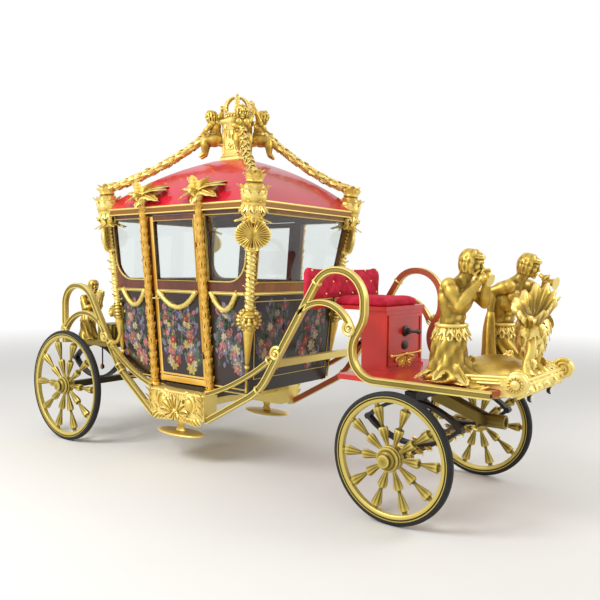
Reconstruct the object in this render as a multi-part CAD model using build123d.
from build123d import *
import os
from math import atan, cos, degrees, pi, radians, sin

# Ceremonial state coach, in millimetres: +X forward, +Y left, +Z up, ground at Z = 0.
# Stations along X are taken from the front axle, and every node is moved by ORIGIN_X when it is
# written, so that the origin lies under the middle of the coach.

os.makedirs("parts", exist_ok=True)

# Wheels and axles
WHEELBASE = 3640.0
FRONT_WHEEL_R = 450.0
REAR_WHEEL_R = 540.0
FRONT_WHEEL_Y = 729.0
REAR_WHEEL_Y = 796.0
TYRE_W = 60.0
TYRE_T = 30.0
TYRE_TAPER = 10.0
REAR_AXLE_X = -WHEELBASE
RIM_T = 42.0
RIM_W = 52.0
SPOKES = 10
SPINDLE_R = 25.0
BORE_CLEARANCE = 0.05
HUB_R = 66.0
HUB_OUT = 80.0
HUB_IN = 34.0
HUB_CAP_T = 22.0
AXLE_SIDE = 60.0

# Cabin body
SILL_Z = 636.0
BELT_Z = 1517.0
WALL_TOP = 2185.0
EAVE_Z = 2245.0
SILL_HALF = 534.0
EAVE_HALF = 684.0
WALL = 40.0
FRONT_SILL_X = -1450.0
FRONT_BELT_X = -1382.0
FRONT_EAVE_X = -1252.0
REAR_SILL_X = REAR_AXLE_X + 610.0
REAR_BELT_X = REAR_AXLE_X + 544.0
REAR_EAVE_X = REAR_AXLE_X + 520.0
BELLY = ((REAR_SILL_X - 90.0, 810.0), (FRONT_SILL_X - 700.0, 620.0), (FRONT_SILL_X + 90.0, 700.0))
FLOOR_T = 40.0
WINDOW_Z = 1600.0
WINDOW_TOP = 2150.0
WINDOW_FRAME = 28.0
WINDOW_CORNER = 200.0
GLASS_T = 5.0
BELT_T = 16.0
BELT_H = 26.0
SWAG_R = 20.0
SWAG_DROP = 130.0
SWAG_RUNS = 8
BENCH_Z = 1090.0
BENCH_BACK_Z = 1560.0
BENCH_HALF = 500.0
BENCH_DEPTH = 460.0
BENCH_BACK_T = 130.0

# Doors and the posts beside them
POST_FRONT_X = -1871.0
POST_REAR_X = REAR_AXLE_X + 1056.0
POST_R = 40.0
POST_STAND_OFF = 24.0
POST_BOTTOM = 640.0
POST_TOP = 2330.0
DOOR_MARGIN = 7.0
DOOR_GAP = 6.0
DOOR_SILL_GAP = 10.0
DOOR_BOTTOM = 672.0
DOOR_TOP = 2172.0
DOOR_STILE = 50.0
DOOR_SWAG_IN = 72.0
HINGE_IN = 12.0
HINGE_OUT = 14.0
HINGE_R = 10.0
HINGE_PIN_R = 5.0
HINGE_LENGTH = 60.0
HINGE_HEIGHTS = (960.0, 1900.0)

# Roof, crown and garlands
CORNICE_OUT = 26.0
ROOF_TOP = 2700.0
ROOF_T = 30.0
ROOF_BULGE = 0.42
CROWN_X = (FRONT_EAVE_X + REAR_EAVE_X) / 2 + 86.0
PEDESTAL_HALF = 100.0
CHERUB_TURN = 0.75
CROWN_R = 112.0
CROWN_Z = 3075.0
CROWN_TOP = 3335.0
CROWN_BANDS = 6
GARLAND_R = 33.0
GARLAND_START_Z = 2955.0
GARLAND_START_R = 250.0
GARLAND_SAG = 60.0
GARLAND_RUNS = 7

# Side frames
FRAME_Y = 585.0
FRAME_W = 50.0
BEAM = 55.0
FRONT_BEAM = ((-1270, 735), (-660, 1707), (-302, 1707), (-302, 1360), (-408, 1180))
FRONT_BEAM_R = (500, 200, 230, 222, 200, 200)
FRONT_RAIL_X = -372.0
FRONT_ARCH = ((-880, 1370), (-650, 1467), (-415, 1290))
FRONT_STRAP = ((-1520, 775), (-1090, 1050))
REAR_BEAM = ((615, 735), (95, 1518), (-290, 1518))
REAR_BEAM_R = (500, 280, 200)
REAR_ARCH = ((-275, 1060), (20, 1248), (395, 1050))
REAR_STRAP = (405, 1040)
ARCH_NARROWER = 8.0
STRAP_NARROWER = 15.0
PLATFORM_Z = 930.0
PLATFORM_T = 30.0
PLATFORM_X = -260.0
PLATFORM_LENGTH = 730.0
LOCKER_X = 190.0
LOCKER_DEPTH = 220.0
LOCKER_H = 190.0
CROSS_W = 60.0
DECK_Z = 955.0
DECK_T = 45.0
DECK_REAR_X = -540.0
DECK_FRONT_X = 640.0
DECK_LET_IN = 4.0
BOX_BACK = 90.0
BOX_OUT = 8.0
SILL_BOX = (POST_REAR_X + 11.0, POST_FRONT_X + 21.0, 370.0, 630.0)
STEP_Z = 225.0
STEP_T = 45.0
STEP_HALF = 280.0
STEP_DEPTH = 120.0
STEP_STEM = (60.0, 40.0)

# Driver's seat
SEAT_BACK_X = -870.0
SEAT_FRONT_X = -300.0
SEAT_HALF = 300.0
SEAT_BACK_HALF = 570.0
SEAT_Z = 1435.0
SEAT_T = 30.0
SEAT_BACK_TOP = 1757.0
SEAT_BACK_T = 74.0
SEAT_BACK_CORNER = 70.0
CUSHION_T = 75.0
CUSHION_CORNER = 40.0
CUSHION_GAP = 0.3

# Front turning carriage
FIFTH_WHEEL_R = 320.0
FIFTH_WHEEL_W = 60.0
FIFTH_WHEEL_GAP = 0.5
BOLSTER_HALF = 45.0
BOLSTER_T = 60.0
PLATE_T = 25.0
KINGPIN_R = 22.0
SPRING_Y = 430.0
SPRING_HALF = 360.0
SPRING_LEAF = 24.0
SPRING_W = 60.0
POLE_BORE_R = 35.0
POLE_SOCKET_T = 15.0
POLE_ARM_T = 30.0
POLE_SOCKET_LENGTH = 180.0
POLE_SOCKET_X = 420.0
POLE_SOCKET_Z = 640.0

# Carved front of the deck
VOLUTE_X = 755.0
VOLUTE_Z = 1000.0
BASE_HALF = 488.0
VOLUTE_R = 85.0
VOLUTE_W = 60.0
EYE_R = 30.0
EYE_W = 100.0
MOUND_X = 420.0
MOUND_HALF = (235.0, 330.0, 155.0)

FRONT_REACH = VOLUTE_X + VOLUTE_R
ORIGIN_X = (WHEELBASE + REAR_WHEEL_R - FRONT_REACH) / 2
FLARE = (EAVE_HALF - SILL_HALF) / (EAVE_Z - SILL_Z)
FLARE_DEG = degrees(atan(FLARE))
CARVED_SIDES = 10
BALL_BANDS = 5
ARCH_RUNS = 12
HUB_SIDES = 14
WIDE = 3 * EAVE_HALF
LONG = 2 * WHEELBASE
HIGH = CROWN_TOP + EAVE_HALF
SLIVER = 1000.0
SIDES = (("right", -1), ("left", 1))


def write(name, *shapes):
    """Write one node, of one solid or more, at its place."""
    solids = [Pos(ORIGIN_X, 0, 0) * solid for shape in shapes for solid in shape.solids()]
    export_step(solids[0] if len(solids) == 1 else Compound(solids), f"parts/{name}.step")


def flip(shape, side):
    """Mirror a left-hand shape to the right-hand side where side is -1."""
    return shape if side > 0 else mirror(shape, about=Plane.XZ)


def across(face, low, high):
    """Extrude a face drawn in X and Z from Y = low to Y = high."""
    plane = Plane(origin=(0, high, 0), x_dir=(1, 0, 0), z_dir=(0, -1, 0))
    return extrude(plane * face, amount=high - low)


def along(face, low, high):
    """Extrude a face drawn in Y and Z from X = low to X = high."""
    plane = Plane(origin=(low, 0, 0), x_dir=(0, 1, 0), z_dir=(1, 0, 0))
    return extrude(plane * face, amount=high - low)


def polygon(points):
    """A flat face with straight sides."""
    return make_face(Polyline(*points, close=True))


def rect(low_a, high_a, low_b, high_b):
    """A rectangle given by its low and high edges."""
    return Pos((low_a + high_a) / 2, (low_b + high_b) / 2) * Rectangle(high_a - low_a, high_b - low_b)


def block(x, y, z):
    """A box given by its low and high corners along each axis."""
    centre = Pos((x[0] + x[1]) / 2, (y[0] + y[1]) / 2, (z[0] + z[1]) / 2)
    return centre * Box(x[1] - x[0], y[1] - y[0], z[1] - z[0])


def skin(rings, flat):
    """A closed solid over rings with equally many points, its sides cut in triangles unless they lie flat."""
    faces = [Face(Wire.make_polygon(ring)) for ring in (rings[0], rings[-1])]
    for low, high in zip(rings, rings[1:]):
        for k, near in enumerate(low):
            far = (k + 1) % len(low)
            corners = (near, low[far], high[far], high[k])
            pieces = [corners] if flat else [corners[:3], (corners[0], corners[2], corners[3])]
            faces += [Face(Wire.make_polygon(piece)) for piece in pieces]
    return Solid(Shell(faces))


def carved(stations, sides=CARVED_SIDES, wide=1.0):
    """A carved form on the Z axis from a table of (height, radius), with flat sides, wider along X."""
    angles = [2 * pi * k / sides for k in range(sides)]
    rings = [[Vector(wide * r * cos(a), r * sin(a), z) for a in angles] for z, r in stations]
    return skin(rings, True)


def ball(centre, radius):
    """A carved ball round a centre, as (height, radius) stations."""
    angles = [pi * (k + 0.5) / BALL_BANDS for k in range(BALL_BANDS)]
    return Pos(*centre) * carved([(-radius * cos(a), radius * sin(a)) for a in angles])


def tube(points, radii, sides):
    """A carved limb through points, with its own radius at each."""
    rings = []
    for k, (point, radius) in enumerate(zip(points, radii)):
        run = Vector(*points[min(k + 1, len(points) - 1)]) - Vector(*points[max(k - 1, 0)])
        plane = Plane(origin=point, x_dir=run.cross(Vector(0, 0, 1)) + Vector(0, 1e-6, 0), z_dir=run)
        angles = [2 * pi * n / sides for n in range(sides)]
        rings.append([plane.from_local_coords(Vector(radius * cos(a), radius * sin(a), 0)) for a in angles])
    return skin(rings, False)


def ribbon(points, radii, thick):
    """A flat band of constant thickness along rounded runs."""
    path = FilletPolyline(*points, radius=list(radii))
    return make_face(offset(path, amount=thick / 2, side=Side.BOTH))


def arch(start, middle, end, thick):
    """A flat band of constant thickness in straight runs along one arc."""
    path = ThreePointArc(start, middle, end)
    shares = [k / ARCH_RUNS for k in range(ARCH_RUNS + 1)]
    halves = (thick / 2, -thick / 2)
    rims = [[path @ u + (path % u).rotate(Axis.Z, 90) * half for u in shares] for half in halves]
    return polygon(rims[0] + rims[1][::-1])


def side_y(z):
    """Half width of the cabin's outer face at a height."""
    return SILL_HALF + (z - SILL_Z) * FLARE


SPOKE = (
    (0.00, 12.0),
    (0.22, 19.0),
    (0.42, 31.0),
    (0.46, 11.0),
    (0.55, 11.0),
    (0.80, 23.0),
    (1.00, 34.0),
)


def wheel_spoke(inner, outer):
    """One carved spoke of two bells in a row, lying along +X, from a table of (share of run, radius)."""
    stations = [(inner + share * (outer - inner), radius) for share, radius in SPOKE]
    return Rot(0, 90, 0) * carved(stations, 6)


def wheel(radius):
    """Hub, spokes and rim of one wheel, with its axle along Y and its outer face towards +Y."""
    rim_out = radius - TYRE_T
    rim_in = rim_out - RIM_T
    half = RIM_W / 2
    rim = revolve(polygon([(rim_in, -half), (rim_out, -half), (rim_out, half), (rim_in, half)]), Axis.Y)
    out = TYRE_W / 2 + HUB_OUT
    inner = -TYRE_W / 2 - HUB_IN
    bore = SPINDLE_R + BORE_CLEARANCE
    hub_stations = (
        (inner, HUB_R - 10),
        (-half, HUB_R + 20),
        (half, HUB_R + 20),
        (half + 8, HUB_R + 10),
        (half + 36, HUB_R + 10),
        (half + 48, HUB_R - 8),
        (out - 20, HUB_R - 26),
        (out, HUB_R - 34),
    )
    hub = Rot(-90, 0, 0) * carved(hub_stations, HUB_SIDES)
    hub -= Pos(0, (inner + out - HUB_CAP_T) / 2, 0) * Rot(90, 0, 0) * Cylinder(bore, out - HUB_CAP_T - inner)
    spoke = wheel_spoke(HUB_R, rim_in + 4)
    spokes = [Rot(0, 360 * n / SPOKES, 0) * spoke for n in range(SPOKES)]
    return rim + hub + spokes


def tyre(radius):
    """Solid rubber tyre of one wheel."""
    inner = radius - TYRE_T
    half = TYRE_W / 2
    tread = half - TYRE_TAPER
    outline = ((inner, -half), (radius, -tread), (radius, tread), (inner, half))
    return revolve(polygon(outline), Axis.Y)


def wheels():
    """Four wheels with their tyres."""
    ends = (("front", 0.0, FRONT_WHEEL_R, FRONT_WHEEL_Y), ("rear", REAR_AXLE_X, REAR_WHEEL_R, REAR_WHEEL_Y))
    for end, x, radius, y in ends:
        place = Pos(x, y, radius)
        wheel_left = place * wheel(radius)
        tyre_left = place * tyre(radius)
        for side_name, side in SIDES:
            write(f"wheel_{end}_{side_name}", flip(wheel_left, side))
            write(f"tyre_{end}_{side_name}", flip(tyre_left, side))


def axle(x, radius, wheel_y):
    """Square axle beam with a round spindle in each hub."""
    shoulder = wheel_y - TYRE_W / 2 - HUB_IN - 0.5
    tip = wheel_y + TYRE_W / 2 + HUB_OUT - HUB_CAP_T - 1
    beam = block((x - AXLE_SIDE / 2, x + AXLE_SIDE / 2), (-shoulder, shoulder),
                 (radius - AXLE_SIDE / 2, radius + AXLE_SIDE / 2))
    spindle = Pos(x, 0, radius) * Rot(90, 0, 0) * Cylinder(SPINDLE_R, 2 * tip)
    return beam + spindle


def leaf_spring(x, y, low, high):
    """Full elliptic spring of two bowed leaves that meet at their ends."""
    middle = (low + high) / 2
    eyes = ((x - SPRING_HALF, middle), (x + SPRING_HALF, middle))
    lower = arch(eyes[0], (x, low + SPRING_LEAF / 2), eyes[1], SPRING_LEAF)
    upper = arch(eyes[0], (x, high - SPRING_LEAF / 2), eyes[1], SPRING_LEAF)
    eyes = [Pos(x + end * SPRING_HALF, middle) * RegularPolygon(SPRING_LEAF, 6) for end in (-1, 1)]
    return across(lower + upper + eyes, y - SPRING_W / 2, y + SPRING_W / 2)


def outline_across(inset):
    """Cabin outline seen from the front, drawn in Y and Z."""
    inset_y = inset / cos(radians(FLARE_DEG))
    low = side_y(400.0) - inset_y
    high = side_y(WALL_TOP) - inset_y
    return polygon([(-low, 400.0), (low, 400.0), (high, WALL_TOP), (-high, WALL_TOP)])


def end_x(sill_x, belt_x, eave_x, z):
    """Station of an end wall's outer face at a height."""
    if z < BELT_Z:
        return belt_x + (sill_x - belt_x) * (BELT_Z - z) / (BELT_Z - SILL_Z)
    return belt_x + (eave_x - belt_x) * (z - BELT_Z) / (EAVE_Z - BELT_Z)


def front_x(z):
    """Station of the front wall's outer face at a height."""
    return end_x(FRONT_SILL_X, FRONT_BELT_X, FRONT_EAVE_X, z)


def rear_x(z):
    """Station of the rear wall's outer face at a height."""
    return end_x(REAR_SILL_X, REAR_BELT_X, REAR_EAVE_X, z)


def outline_along(inset):
    """Cabin outline seen from the side, drawn in X and Z."""
    heights = (400.0, BELT_Z, WALL_TOP)
    front = [(front_x(z) - inset, z) for z in heights]
    rear = [(rear_x(z) + inset, z) for z in reversed(heights)]
    return polygon(front + rear)


def hull(inset):
    """Solid cabin body, smaller all round by the inset."""
    return across(outline_along(inset), -WIDE, WIDE) & along(outline_across(inset), -LONG, LONG)


def above_belly(lift):
    """Everything above the curved bottom of the cabin."""
    rear, middle, front = [(x, z + lift) for x, z in BELLY]
    arc = ThreePointArc(rear, middle, front)
    sides = Polyline(front, (LONG, front[1]), (LONG, HIGH), (-LONG, HIGH), (-LONG, rear[1]), rear)
    return across(make_face(arc + sides), -WIDE, WIDE)


def door_opening(gap, sill_gap):
    """Door outline seen from the side, smaller by the gaps."""
    rear = POST_REAR_X + POST_R + DOOR_MARGIN
    front = POST_FRONT_X - POST_R - DOOR_MARGIN
    return rect(rear + gap, front - gap, DOOR_BOTTOM + sill_gap, DOOR_TOP - gap)


def quarter_window(post_x, corner_x, inset):
    """Window between a post and a cabin corner, with a curved lower outer corner."""
    toward = 1 if corner_x(BELT_Z) > post_x else -1
    inner = post_x + toward * (POST_R + inset)
    low = WINDOW_Z + inset
    high = WINDOW_TOP - inset
    margin = WALL + WINDOW_FRAME + inset
    outer_low = corner_x(low) - toward * margin
    outer_high = corner_x(high) - toward * margin
    face = polygon([(inner, low), (outer_low, low), (outer_high, high), (inner, high)])
    corner = [v for v in face.vertices() if abs(v.Y - low) < 1 and abs(v.X - outer_low) < 1]
    return fillet(corner, WINDOW_CORNER - inset)


def end_window(inset):
    """Wide window in an end wall, drawn in Y and Z."""
    low = WINDOW_Z + inset
    high = WINDOW_TOP - inset
    margin = WALL + WINDOW_FRAME + inset
    half_low = side_y(low) - margin
    half_high = side_y(high) - margin
    return polygon([(-half_low, low), (half_low, low), (half_high, high), (-half_high, high)])


def cabin():
    """Floor, four walls, belt, glass and the two doors."""
    outer = hull(0)
    inner = hull(WALL)
    shell = (outer - inner) & above_belly(0)
    core = along(outline_across(WALL), -LONG, LONG)
    middle_x = (POST_FRONT_X + POST_REAR_X) / 2
    ends = shell & core
    sides = shell - core
    write("cabin_floor", inner & above_belly(0) - above_belly(FLOOR_T))

    for name, low_x, high_x in (("front", middle_x, LONG), ("rear", -LONG, middle_x)):
        wall = ends & block((low_x, high_x), (-WIDE, WIDE), (0, HIGH))
        wall -= along(end_window(0), low_x, high_x)
        write(f"cabin_{name}_wall", wall)

    left = sides & block((-LONG, LONG), (0, WIDE), (0, HIGH))
    windows = [quarter_window(POST_FRONT_X, front_x, 0), quarter_window(POST_REAR_X, rear_x, 0)]
    wall = left - [across(face, 0, WIDE) for face in windows]
    wall -= across(door_opening(0, 0), 0, WIDE)

    leaf = left & across(door_opening(DOOR_GAP, DOOR_SILL_GAP), 0, WIDE)
    door_box = door_opening(DOOR_GAP, DOOR_SILL_GAP).bounding_box()
    light_x = (door_box.min.X + DOOR_STILE, door_box.max.X - DOOR_STILE)
    light = rect(*light_x, WINDOW_Z, WINDOW_TOP - WINDOW_FRAME)
    leaf -= across(light, 0, WIDE)
    leaf += swag(door_box.min.X + DOOR_SWAG_IN, door_box.max.X - DOOR_SWAG_IN) - outer
    pane = pane_in_side(light)
    for height in HINGE_HEIGHTS:
        leaf += hinge_knuckle(height)
        leaf -= hinge_bore(height)
    for name, side in SIDES:
        write(f"cabin_{name}_wall", flip(wall, side))
        write(f"door_{name}", flip(leaf, side))
        write(f"door_glass_{name}", flip(pane, side))

    panes = [pane_in_side(face) for face in windows]
    panes += [flip(pane, -1) for pane in panes]
    panes += end_panes(middle_x)
    write("cabin_glass", *panes)
    belt = (hull(-BELT_T) - outer) & block((-LONG, LONG), (-WIDE, WIDE), (BELT_Z - BELT_H, BELT_Z))
    belt -= across(rect(POST_REAR_X - POST_R, POST_FRONT_X + POST_R, 0, HIGH), -WIDE, WIDE)
    for low_x, high_x in ((REAR_BELT_X + 149, POST_REAR_X - 75), (POST_FRONT_X + 75, FRONT_BELT_X - 138)):
        rope = swag(low_x, high_x) - outer
        belt = belt + rope + flip(rope, -1)
    return belt


def swag(low_x, high_x):
    """Rope-like swag that hangs from the belt between two stations of the left wall."""
    points = []
    for k in range(SWAG_RUNS + 1):
        share = 2 * k / SWAG_RUNS - 1
        z = BELT_Z - BELT_H + 4 - SWAG_DROP * (1 - share * share)
        x = (low_x + high_x + share * (high_x - low_x)) / 2
        points.append((x, side_y(z) + 0.6 * SWAG_R, z))
    return tube(points, [SWAG_R] * len(points), 6)


def slab_in_side(depth_out, depth_in):
    """Slanted slab parallel to the left wall, between two depths under its outer face."""
    lean = cos(radians(FLARE_DEG))
    low = side_y(0)
    high = side_y(HIGH)
    out_y = depth_out / lean
    in_y = depth_in / lean
    outline = [(low - out_y, 0), (high - out_y, HIGH), (high - in_y, HIGH), (low - in_y, 0)]
    return along(polygon(outline), -LONG, LONG)


def pane_in_side(face):
    """Glass in the middle of the side wall's thickness."""
    depth = (WALL - GLASS_T) / 2
    return across(face, 0, WIDE) & slab_in_side(depth, depth + GLASS_T)


def end_panes(middle_x):
    """Glass of the front and rear walls."""
    depth = (WALL - GLASS_T) / 2
    opening = along(end_window(0), -LONG, LONG)
    sheet = across(outline_along(depth) - outline_along(depth + GLASS_T), -WIDE, WIDE) & opening
    front = sheet & block((middle_x, LONG), (-WIDE, WIDE), (0, HIGH))
    rear = sheet & block((-LONG, middle_x), (-WIDE, WIDE), (0, HIGH))
    return [front, rear]


def hinge_place(height):
    """Middle of a hinge at a height, with Z along the slanted hinge line."""
    axis_x = POST_FRONT_X - POST_R - DOOR_MARGIN - DOOR_GAP - HINGE_IN
    axis_y = side_y(height) + HINGE_OUT
    return Pos(axis_x, axis_y, height) * Rot(-FLARE_DEG, 0, 0)


def hinge_knuckle(height):
    """Knuckle on the door leaf."""
    body = Cylinder(HINGE_R, HINGE_LENGTH)
    reach = HINGE_OUT + 3
    web = block((-HINGE_R, HINGE_R), (-reach, 0), (-HINGE_LENGTH / 2, HINGE_LENGTH / 2))
    return hinge_place(height) * (body + web)


def hinge_bore(height):
    """Hole for the hinge pin."""
    return hinge_place(height) * Cylinder(HINGE_PIN_R + BORE_CLEARANCE, 3 * HINGE_LENGTH)


def hinge_lugs(height):
    """Pin and its two lugs, which reach the post."""
    pin = Cylinder(HINGE_PIN_R, HINGE_LENGTH + 20)
    parts = pin
    for end in (-1, 1):
        low = end * (HINGE_LENGTH / 2 + 5)
        high = end * (HINGE_LENGTH / 2 + 20)
        lug = block((-HINGE_R, 4 * HINGE_R), (-HINGE_R + 1, HINGE_R - 1), (min(low, high), max(low, high)))
        parts += lug
    return hinge_place(height) * parts


def cabin_seats():
    """Two facing benches inside the cabin."""
    seats = []
    inner = hull(WALL) & above_belly(FLOOR_T)
    for edge, end in ((front_x(BELT_Z), 1), (rear_x(BELT_Z), -1)):
        near = edge - end * (WALL + BENCH_DEPTH)
        base = block(sorted((near, edge)), (-WIDE, WIDE), (0, BENCH_Z))
        back_x = sorted((edge - end * (WALL + BENCH_BACK_T), edge))
        back = block(back_x, (-WIDE, WIDE), (BENCH_Z, BENCH_BACK_Z))
        trim = block((-LONG, LONG), (-BENCH_HALF, BENCH_HALF), (0, HIGH))
        seats.append((base + back) & inner & trim)
    return seats


# Palm fronds, an upper and a lower layer, each as (reach, height over the trunk's end, half width).
FRONDS = (
    ((0, -25, 16), (70, 32, 46), (155, 26, 54), (225, -28, 42), (255, -92, 8)),
    ((0, -50, 24), (60, -14, 56), (125, -38, 60), (165, -98, 42), (175, -150, 8)),
)
FROND_T = 24.0


def frond(stations, end):
    """One drooping frond with a raised rib, towards the front or the rear."""
    rings = []
    for x, z, half in stations:
        section = ((-half, 0), (half, 0), (0.3 * half, FROND_T), (-0.3 * half, FROND_T))
        rings.append([Vector(end * x, y, z + up) for y, up in section])
    return skin(rings, False)


def palm_crown():
    """Bud and drooping fronds to the front and rear, on top of a palm trunk."""
    crown = carved(((-60, POST_R - 4), (-10, POST_R + 16), (40, POST_R + 2), (100, 12)), 8)
    for stations in FRONDS:
        crown += [frond(stations, end) for end in (-1, 1)]
    return crown


def palm_posts():
    """Four palm-trunk posts, two beside each door, seated on the wall."""
    outer = hull(0)
    length = (POST_TOP - POST_BOTTOM) / cos(radians(FLARE_DEG))
    trunk = carved(((0, POST_R + 16), (30, POST_R + 12), (44, POST_R - 2), (length, POST_R - 4)))
    lean = Rot(-FLARE_DEG, 0, 0)
    posts = []
    for x in (POST_FRONT_X, POST_REAR_X):
        foot = Pos(x, side_y(POST_BOTTOM) + POST_STAND_OFF, POST_BOTTOM)
        head = foot * lean * Pos(0, 0, length) * Rot(FLARE_DEG, 0, 0)
        posts.append(foot * lean * trunk + head * palm_crown())
    posts[0] += [hinge_lugs(height) for height in HINGE_HEIGHTS]
    return [post - outer for post in posts]


def roof_outline(low, high, top, flat):
    """Convex arch between two eaves, with a flat top round its middle."""
    middle = CROWN_X if low + high != 0 else 0
    edges = []
    for eave, side in ((low, -1), (high, 1)):
        end = (middle + side * flat, top)
        bulge = (eave + ROOF_BULGE * (end[0] - eave), EAVE_Z + (1 - ROOF_BULGE) * 0.97 * (top - EAVE_Z))
        edges.append(ThreePointArc((eave, EAVE_Z), bulge, end))
    edges.append(Line((middle - flat, top), (middle + flat, top)))
    edges.append(Line((low, EAVE_Z), (high, EAVE_Z)))
    return make_face(edges)


def roof():
    """Hipped convex roof shell and the cornice that it sits on."""
    front = front_x(EAVE_Z) + CORNICE_OUT
    rear = rear_x(EAVE_Z) - CORNICE_OUT
    half = side_y(EAVE_Z) + CORNICE_OUT
    shells = []
    for inset in (0, ROOF_T):
        length = roof_outline(rear + inset, front - inset, ROOF_TOP - inset, PEDESTAL_HALF + 50)
        width = roof_outline(-half + inset, half - inset, ROOF_TOP - inset, PEDESTAL_HALF + 30)
        shells.append(across(length, -WIDE, WIDE) & along(width, -LONG, LONG))
    write("roof", shells[0] - shells[1])
    eaves = shells[0]
    ring_out = block((rear, front), (-half, half), (WALL_TOP, EAVE_Z))
    ring_in = block((rear_x(WALL_TOP) + WALL, front_x(WALL_TOP) - WALL),
                    (-side_y(WALL_TOP) + WALL, side_y(WALL_TOP) - WALL), (WALL_TOP, EAVE_Z))
    write("roof_cornice", ring_out - ring_in)
    return eaves + ring_out


def crown():
    """Square pedestal, and a crown whose swelling bands meet under a finial with gaps between them."""
    half = PEDESTAL_HALF
    steps = ((ROOF_TOP, 1.12), (ROOF_TOP + 35, 1.12), (ROOF_TOP + 50, 0.96),
             (CROWN_Z - 50, 0.94), (CROWN_Z - 35, 1.08), (CROWN_Z, 1.08))
    corners = ((-1, -1), (1, -1), (1, 1), (-1, 1))
    rings = [[Vector(half * share * x, half * share * y, z) for x, y in corners] for z, share in steps]
    pedestal = skin(rings, True)
    ring = carved(((CROWN_Z, CROWN_R - 6), (CROWN_Z + 22, CROWN_R + 2), (CROWN_Z + 50, CROWN_R)), 18)
    solid = pedestal + ring
    swell = ((CROWN_R - 8, 0, CROWN_Z + 38), (CROWN_R + 18, 0, CROWN_Z + 85), (CROWN_R + 6, 0, CROWN_Z + 135),
             (CROWN_R - 45, 0, CROWN_Z + 178), (10, 0, CROWN_Z + 200))
    band = tube(swell, (16, 19, 17, 15, 14), 6)
    for n in range(CROWN_BANDS):
        solid += Rot(0, 0, 360 * (n + 0.2) / CROWN_BANDS) * band
    solid += carved(((CROWN_Z + 185, 20), (CROWN_Z + 205, 28), (CROWN_Z + 225, 12), (CROWN_TOP, 5)), 8)
    drum = Pos(CROWN_X, 0, 0) * solid
    write("crown", drum)
    return drum


# Cherub: each limb as points (reach, aside, height) and radii, from the crown's axis out along a diagonal.
CHERUB = (
    (((170, 0, 2875), (190, 0, 2935), (208, 0, 3000), (226, 0, 3050)), (58, 62, 56, 26)),
    (((178, 38, 2890), (296, 52, 2880), (298, 48, 2760), (338, 50, 2738)), (46, 37, 24, 16)),
    (((178, -38, 2890), (296, -52, 2880), (298, -48, 2760), (338, -50, 2738)), (46, 37, 24, 16)),
    (((212, 52, 3030), (268, 85, 2978), (305, 35, 2958)), (28, 23, 17)),
    (((212, -52, 3034), (190, -108, 3108), (150, -118, 3185)), (28, 23, 17)),
    (((85, 0, 2846), (200, 0, 2862)), (34, 46)),
)
CHERUB_HEAD = (244, 0, 3102)


def limbs(table, sides):
    """Fused limbs from a table of (points, radii)."""
    body = tube(*table[0], sides)
    for points, radii in table[1:]:
        body += tube(points, radii, sides)
    return body


def figures_on_roof(eaves, drum):
    """Four seated cherubs round the crown, one to each corner post."""
    cherub = limbs(CHERUB, 6) + ball(CHERUB_HEAD, 56)
    angle = degrees(atan(CHERUB_TURN))
    figures = []
    for turn in (angle, 180 - angle):
        mirrored = cherub if turn < 90 else mirror(cherub, about=Plane.XZ)
        figure = Pos(CROWN_X, 0, 0) * Rot(0, 0, turn) * mirrored - eaves - drum
        figures.append(figure.solids().sort_by(SortBy.VOLUME)[-1])
    return [flip(figure, side) for figure in figures for _, side in SIDES]


# Corner post as (distance up the axis, radius): rod, handle, mask, trunk, bell, collar, helmet, plume.
CORNER_POST = (
    (0, 9),
    (205, 11),
    (225, 20),
    (260, 18),
    (520, 43),
    (535, 84),
    (612, 94),
    (680, 78),
    (700, 38),
    (1165, 38),
    (1180, 58),
    (1225, 42),
    (1400, 48),
    (1465, 66),
    (1500, 112),
    (1540, 92),
    (1620, 102),
    (1690, 64),
    (1760, 88),
    (1812, 40),
)
SHIELD_AT = 1300.0
SHIELD_R = 112.0
# Corner posts' axes as (foot, head), each (along from the eave's end, aside, height), front and rear.
POST_AXES = {1: ((-203, 556, 690), (-18, 685, 2500)), -1: ((100, 556, 690), (-30, 680, 2500))}


def corner_frame(end):
    """Axis of a left corner post: foot, direction and length."""
    eave = FRONT_EAVE_X if end > 0 else REAR_EAVE_X
    foot, head = [Vector(eave + x, y, z) for x, y, z in POST_AXES[end]]
    run = head - foot
    return Plane(origin=foot, x_dir=(1, 0, 0), z_dir=run.normalized()), run.length


def corner_posts(eaves):
    """Left-hand trophy posts at the cabin's corners, seated on walls and eaves."""
    body = hull(0)
    posts = []
    for end in (1, -1):
        plane, _ = corner_frame(end)
        post = plane.location * carved(CORNER_POST)
        shield = Rot(0, 90, 0) * carved(((-16, SHIELD_R - 12), (0, SHIELD_R), (40, 30)), 16)
        shield = scale(shield, by=(1, 1.25, 1))
        outward = Rot(0, 0, 45 if end > 0 else 135)
        post += plane.location * Pos(0, 0, SHIELD_AT) * outward * Pos(50, 0, 0) * shield
        posts.append((post - body - eaves).solids().sort_by(SortBy.VOLUME)[-1])
    return posts


def side_frame_front():
    """Front half of the left side frame: beam from the sill box, loop and deck rail."""
    box_front = SILL_BOX[1]
    rail_z = DECK_Z - DECK_T / 2
    points = ((box_front - 20, 405), *FRONT_BEAM, (FRONT_RAIL_X, rail_z), (DECK_FRONT_X, rail_z))
    beam = ribbon(points, FRONT_BEAM_R, BEAM)
    beam &= rect(-LONG, LONG, DECK_Z - DECK_T, HIGH) + rect(-LONG, -600, 0, HIGH)
    inner = arch(*FRONT_ARCH, BEAM - ARCH_NARROWER)
    strap = arch((box_front - 10, SILL_BOX[3] + 10), *FRONT_STRAP, BEAM - STRAP_NARROWER)
    return across(beam + inner + strap, FRAME_Y, FRAME_Y + FRAME_W)


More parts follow.
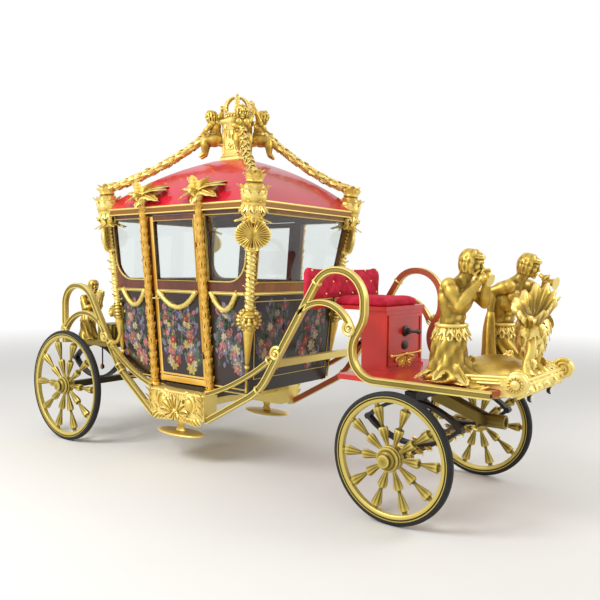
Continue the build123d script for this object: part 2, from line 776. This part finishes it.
def side_frame_rear():
    """Rear half of the left side frame: beam from the sill box and loop down to the rear platform."""
    box_rear = SILL_BOX[0]
    curve = [(REAR_AXLE_X + x, z) for x, z in REAR_BEAM]
    points = ((box_rear + 20, 385), *curve, (curve[-1][0], PLATFORM_Z))
    beam = ribbon(points, REAR_BEAM_R, BEAM)
    inner = arch(*[(REAR_AXLE_X + x, z) for x, z in REAR_ARCH], BEAM - ARCH_NARROWER)
    strap_end = (REAR_AXLE_X + REAR_STRAP[0], REAR_STRAP[1])
    strap = arch((box_rear + 10, SILL_BOX[3] + 10), (box_rear - 307, 770), strap_end, BEAM - STRAP_NARROWER)
    return across(beam + inner + strap, FRAME_Y, FRAME_Y + FRAME_W)


def chassis(posts):
    """Side frames, sill boxes, steps, cross members and the rear platform."""
    front = side_frame_front()
    rear = side_frame_rear()
    low_x, high_x, low_z, high_z = SILL_BOX
    box_outline = polygon([(low_x, high_z), (high_x, high_z), (high_x - 15, low_z + 40),
                           (high_x - 110, low_z), (low_x + 110, low_z), (low_x + 15, low_z + 40)])
    box = across(box_outline, FRAME_Y - BOX_BACK, FRAME_Y + FRAME_W + BOX_OUT) - (hull(0) & above_belly(0))
    step_x = (low_x + high_x) / 2
    dish = carved(((STEP_Z, STEP_DEPTH - 30), (STEP_Z + STEP_T, STEP_DEPTH)), 20, STEP_HALF / STEP_DEPTH)
    bowl = Pos(step_x, FRAME_Y, 0) * dish
    stem = Pos(step_x, FRAME_Y, 0) * carved(((STEP_Z + STEP_T, STEP_STEM[0]), (low_z, STEP_STEM[1])))
    step = bowl + stem
    for name, side in SIDES:
        write(f"side_frame_front_{name}", flip(front - box - posts, side))
        write(f"side_frame_rear_{name}", flip(rear - box - posts, side))
    write("sill_boxes", box, flip(box, -1))
    write("entry_steps", step, flip(step, -1))
    bar = FRAME_Y - BOX_BACK
    tail_x = REAR_AXLE_X + PLATFORM_X
    mid_x = FRONT_SILL_X + 250
    crosses = [
        block((step_x - 200, step_x + 200), (-bar, bar), (low_z + 120, low_z + 120 + CROSS_W)),
        block((tail_x - CROSS_W, tail_x), (-FRAME_Y, FRAME_Y), (PLATFORM_Z, PLATFORM_Z + BEAM)),
        block((mid_x, mid_x + CROSS_W), (-FRAME_Y, FRAME_Y), (PLATFORM_Z, PLATFORM_Z + BEAM)),
    ]
    write("cross_members", *crosses)
    floor_z = PLATFORM_Z + PLATFORM_T
    platform = block((tail_x, tail_x + PLATFORM_LENGTH), (-FRAME_Y, FRAME_Y), (PLATFORM_Z, floor_z))
    locker_x = REAR_AXLE_X + LOCKER_X
    locker = block((locker_x, locker_x + LOCKER_DEPTH), (-FRAME_Y + 25, FRAME_Y - 25),
                   (floor_z, floor_z + LOCKER_H))
    write("rear_platform", platform + locker)
    figure = rear_figure()
    write("rear_figures", figure, flip(figure, -1))


def deck():
    """Driver's deck with its carved front, on which the figures stand."""
    floor = DECK_Z - DECK_LET_IN
    low = DECK_Z - DECK_T
    board = block((DECK_REAR_X, DECK_FRONT_X), (-FRAME_Y, FRAME_Y), (low + DECK_LET_IN, floor))
    write("driver_deck", board)
    outline = [(100, floor), (DECK_FRONT_X, floor), (DECK_FRONT_X, low), (VOLUTE_X - 15, low + 8)]
    outline += [(VOLUTE_X + 15, DECK_Z + 10), (VOLUTE_X - 25, DECK_Z + 65), (620, DECK_Z + 65)]
    outline += [(200, DECK_Z + 40), (100, DECK_Z + 14)]
    scroll = across(polygon(outline), -BASE_HALF, BASE_HALF)
    half_x, half_y, height = MOUND_HALF
    mound = scale(ball((0, 0, 0), 100), by=(half_x / 100, half_y / 100, height / 100))
    scroll += Pos(MOUND_X, 0, DECK_Z) * (mound & block((-LONG, LONG), (-WIDE, WIDE), (0, HIGH)))
    for side in (-1, 1):
        volute = Pos(VOLUTE_X, side * BASE_HALF, VOLUTE_Z) * Rot(90, 0, 0) * Cylinder(VOLUTE_R - 12, VOLUTE_W)
        eye = Pos(VOLUTE_X, side * BASE_HALF, VOLUTE_Z) * Rot(90, 0, 0) * Cylinder(EYE_R, EYE_W)
        scroll += volute + eye
    write("front_scroll", scroll)
    front_figures([scroll, board])


def driver_seat():
    """Seat bench, cushion and back."""
    under = SEAT_Z - SEAT_T
    bench = block((SEAT_BACK_X, SEAT_FRONT_X), (-SEAT_HALF, SEAT_HALF), (under, SEAT_Z))
    half = SEAT_HALF - 20
    pedestal = block((DECK_REAR_X + 10, SEAT_FRONT_X - 10), (-half, half), (DECK_Z - DECK_LET_IN, under))
    rail = block((SEAT_BACK_X - 30, SEAT_BACK_X + 20), (-FRAME_Y, FRAME_Y), (under, SEAT_Z))
    write("seat_box", bench + pedestal + rail)
    cushion = block((SEAT_BACK_X + 25, SEAT_FRONT_X), (-SEAT_HALF, SEAT_HALF),
                    (SEAT_Z + CUSHION_GAP, SEAT_Z + CUSHION_T))
    write("seat_cushion", fillet(cushion.edges().filter_by(Axis.Z), CUSHION_CORNER))
    face_x = SEAT_BACK_X + 24
    back = block((face_x - SEAT_BACK_T, face_x), (-SEAT_BACK_HALF, SEAT_BACK_HALF),
                 (SEAT_Z + CUSHION_GAP, SEAT_BACK_TOP))
    upper = back.edges().filter_by(Axis.X).group_by(Axis.Z)[-1]
    write("seat_back", fillet(upper, SEAT_BACK_CORNER))


def front_carriage():
    """Axle, springs, turning plates and pole socket under the deck."""
    top = DECK_Z - DECK_T + DECK_LET_IN
    ring = Cylinder(FIFTH_WHEEL_R, PLATE_T) - Cylinder(FIFTH_WHEEL_R - FIFTH_WHEEL_W, PLATE_T)
    cross = Box(2 * FIFTH_WHEEL_R - FIFTH_WHEEL_W, 2 * BOLSTER_HALF, PLATE_T)
    upper = Pos(0, 0, top - PLATE_T / 2) * (ring + cross)
    upper -= Pos(0, 0, top) * Cylinder(KINGPIN_R + BORE_CLEARANCE, 2 * PLATE_T + 20)
    write("turning_plate_upper", upper)
    plate_top = top - PLATE_T - FIFTH_WHEEL_GAP
    lower = Pos(0, 0, plate_top - PLATE_T / 2) * (ring + cross)
    bolster_top = plate_top - PLATE_T
    bolster_low = bolster_top - BOLSTER_T
    lower += block((-BOLSTER_HALF, BOLSTER_HALF), (-SPRING_Y - 40, SPRING_Y + 40), (bolster_low, bolster_top))
    lower += Pos(0, 0, top - PLATE_T / 2 - 2) * Cylinder(KINGPIN_R, PLATE_T - 2)
    lower += Pos(0, 0, plate_top - PLATE_T / 2) * Cylinder(KINGPIN_R, PLATE_T + 4)
    write("turning_plate_lower", lower)
    write("front_axle", axle(0.0, FRONT_WHEEL_R, FRONT_WHEEL_Y))
    spring_low = FRONT_WHEEL_R + AXLE_SIDE / 2
    springs = [leaf_spring(0.0, side * SPRING_Y, spring_low, bolster_low) for _, side in SIDES]
    write("front_springs", *springs)
    pole_line = Pos(POLE_SOCKET_X, 0, POLE_SOCKET_Z) * Rot(0, 90, 0)
    socket = pole_line * Cylinder(POLE_BORE_R + POLE_SOCKET_T, POLE_SOCKET_LENGTH)
    back = POLE_SOCKET_X - POLE_SOCKET_LENGTH / 2
    low_z = POLE_SOCKET_Z - 25
    arm_outline = polygon([(-BOLSTER_HALF, bolster_low), (BOLSTER_HALF, bolster_low), (back + 60, low_z + 50),
                           (back + 60, low_z), (back, low_z), (-BOLSTER_HALF, bolster_low - 60)])
    for side in (-1, 1):
        low = min(side * POLE_ARM_T, side * 2 * POLE_ARM_T)
        socket += across(arm_outline, low, low + POLE_ARM_T)
    plate = block((back - 20, back), (-60, 60), (POLE_SOCKET_Z - 50, POLE_SOCKET_Z + 50))
    socket += plate
    socket -= pole_line * Cylinder(POLE_BORE_R, POLE_SOCKET_LENGTH)
    write("pole_socket", socket)


def rear_axle():
    """Rear axle with its springs under the platform."""
    write("rear_axle", axle(REAR_AXLE_X, REAR_WHEEL_R, REAR_WHEEL_Y))
    low = REAR_WHEEL_R + AXLE_SIDE / 2
    springs = [leaf_spring(REAR_AXLE_X, side * SPRING_Y, low, PLATFORM_Z) for _, side in SIDES]
    write("rear_springs", *springs)


# Sea figures: each limb as points (x, y, z) and radii; trunk, arms, horn, and what hangs down.
RIGHT_FIGURE = (
    (((310, -400, 965), (288, -400, 1050), (250, -400, 1150), (262, -400, 1300), (272, -400, 1395),
      (308, -400, 1535), (335, -400, 1635), (362, -400, 1680), (398, -400, 1725)),
     (196, 136, 122, 102, 88, 112, 68, 46, 42)),
    (((312, -470, 1615), (380, -545, 1485), (478, -445, 1640), (505, -425, 1672)), (50, 40, 27, 32)),
    (((330, -320, 1615), (440, -265, 1490), (495, -370, 1655), (505, -400, 1675)), (50, 40, 27, 30)),
    (((478, -412, 1705), (545, -425, 1650)), (14, 38)),
)
LEFT_FIGURE = (
    (((370, 380, 965), (360, 380, 1030), (345, 380, 1100), (318, 380, 1255), (322, 380, 1350),
      (375, 380, 1515), (425, 383, 1625), (462, 386, 1670), (500, 388, 1715)),
     (190, 146, 118, 100, 86, 112, 68, 46, 42)),
    (((420, 310, 1600), (285, 235, 1560), (290, 215, 1400), (288, 210, 1250), (300, 215, 965)),
     (50, 40, 30, 44, 72)),
    (((455, 460, 1600), (590, 520, 1530), (632, 395, 1640)), (50, 40, 28)),
    (((590, 398, 1690), (640, 390, 1650), (715, 375, 1625)), (14, 22, 46)),
)


def front_figures(carriers):
    """Two sea figures that blow horns, and the shell between them, seated on the deck's carved front."""
    room = block((-LONG, LONG), (-FRAME_Y + 20, FRAME_Y - 20), (DECK_Z - DECK_LET_IN, HIGH))
    right = limbs(RIGHT_FIGURE, 8) + ball((412, -400, 1768), 88)
    left = limbs(LEFT_FIGURE, 8) + ball((520, 390, 1755), 86)
    for name, figure in (("right", right), ("left", left)):
        write(f"front_figure_{name}", (figure & room) - carriers)
    write("shell_footboard", shell_bowl() - carriers)


def shell_bowl():
    """Open oval shell tipped to the right, on a waisted foot."""
    stations = ((-250, 0.30), (-150, 0.55), (-60, 0.92), (0, 1.10), (14, 1.10), (0, 0.94), (-60, 0.66),
                (-95, 0.20))
    angles = [2 * pi * k / 16 for k in range(16)]
    rings = [[Vector(105 * share * cos(a), 215 * share * sin(a), z) for a in angles] for z, share in stations]
    bowl = Pos(690, 20, 1490) * Rot(20, 12, 0) * skin(rings, False)
    foot = bowl
    for side in (-1, 1):
        leg = ((660, side * 20 + 20, 1300), (700, side * 75, 1180), (680, side * 105, 1080),
               (700, side * 140, 1000))
        foot += tube(leg, (46, 36, 31, 46), 8)
    return foot


# Rear figure on the left, its head bent inwards: body, arms and the bundle of rods it carries.
REAR_FIGURE = (
    (((0, 0, 0), (0, 0, 120), (-10, 0, 260), (20, -10, 400), (40, -20, 480), (54, -22, 530)),
     (105, 84, 74, 92, 44, 38)),
    (((20, 70, 430), (90, 90, 330), (180, 30, 350)), (38, 32, 22)),
    (((20, -80, 430), (80, -90, 350), (170, -20, 340)), (38, 32, 22)),
    (((130, 0, 230), (215, 0, 500)), (38, 42)),
)


def rear_figure():
    """Left sea figure on the rear platform."""
    figure = limbs(REAR_FIGURE, 8) + ball((62, -24, 560), 70)
    return Pos(REAR_AXLE_X - 150, 430, PLATFORM_Z + PLATFORM_T) * figure


def garlands(carriers):
    """Four thick garlands from the drum to the corner posts, seated on their carriers."""
    ropes = []
    for end in (1, -1):
        plane, length = corner_frame(end)
        head = plane.origin + plane.z_dir * (length - 55)
        away = Vector(end, CHERUB_TURN, 0).normalized() * GARLAND_START_R
        start = Vector(CROWN_X, 0, GARLAND_START_Z) + away
        points = []
        for k in range(GARLAND_RUNS + 1):
            share = k / GARLAND_RUNS
            sag = Vector(0, 0, 4 * GARLAND_SAG * share * (1 - share))
            points.append(tuple(start + (head - start) * share - sag))
        rope = tube(points, [GARLAND_R] * len(points), 8)
        ropes.append((rope - carriers).solids().sort_by(SortBy.VOLUME)[-1])
    return [flip(rope, side) for rope in ropes for _, side in SIDES]


def main():
    """Build and write every node."""
    wheels()
    belt = cabin()
    eaves = roof()
    drum = crown()
    posts = palm_posts()
    write("palm_posts", *[flip(post - eaves, side) for post in posts for _, side in SIDES])
    corners = corner_posts(eaves)
    write("corner_posts", *[flip(corner, side) for corner in corners for _, side in SIDES])
    belt -= [flip(corner, side) for corner in corners for _, side in SIDES]
    write("belt_moulding", *[piece for piece in belt.solids() if piece.volume > SLIVER])
    figures = figures_on_roof(eaves, drum)
    write("roof_figures", *figures)
    write("roof_garlands", *garlands([eaves, drum, *corners, *figures]))
    write("cabin_seats", *cabin_seats())
    chassis([posts[0], posts[1], corners[0], corners[1]])
    deck()
    driver_seat()
    front_carriage()
    rear_axle()


main()
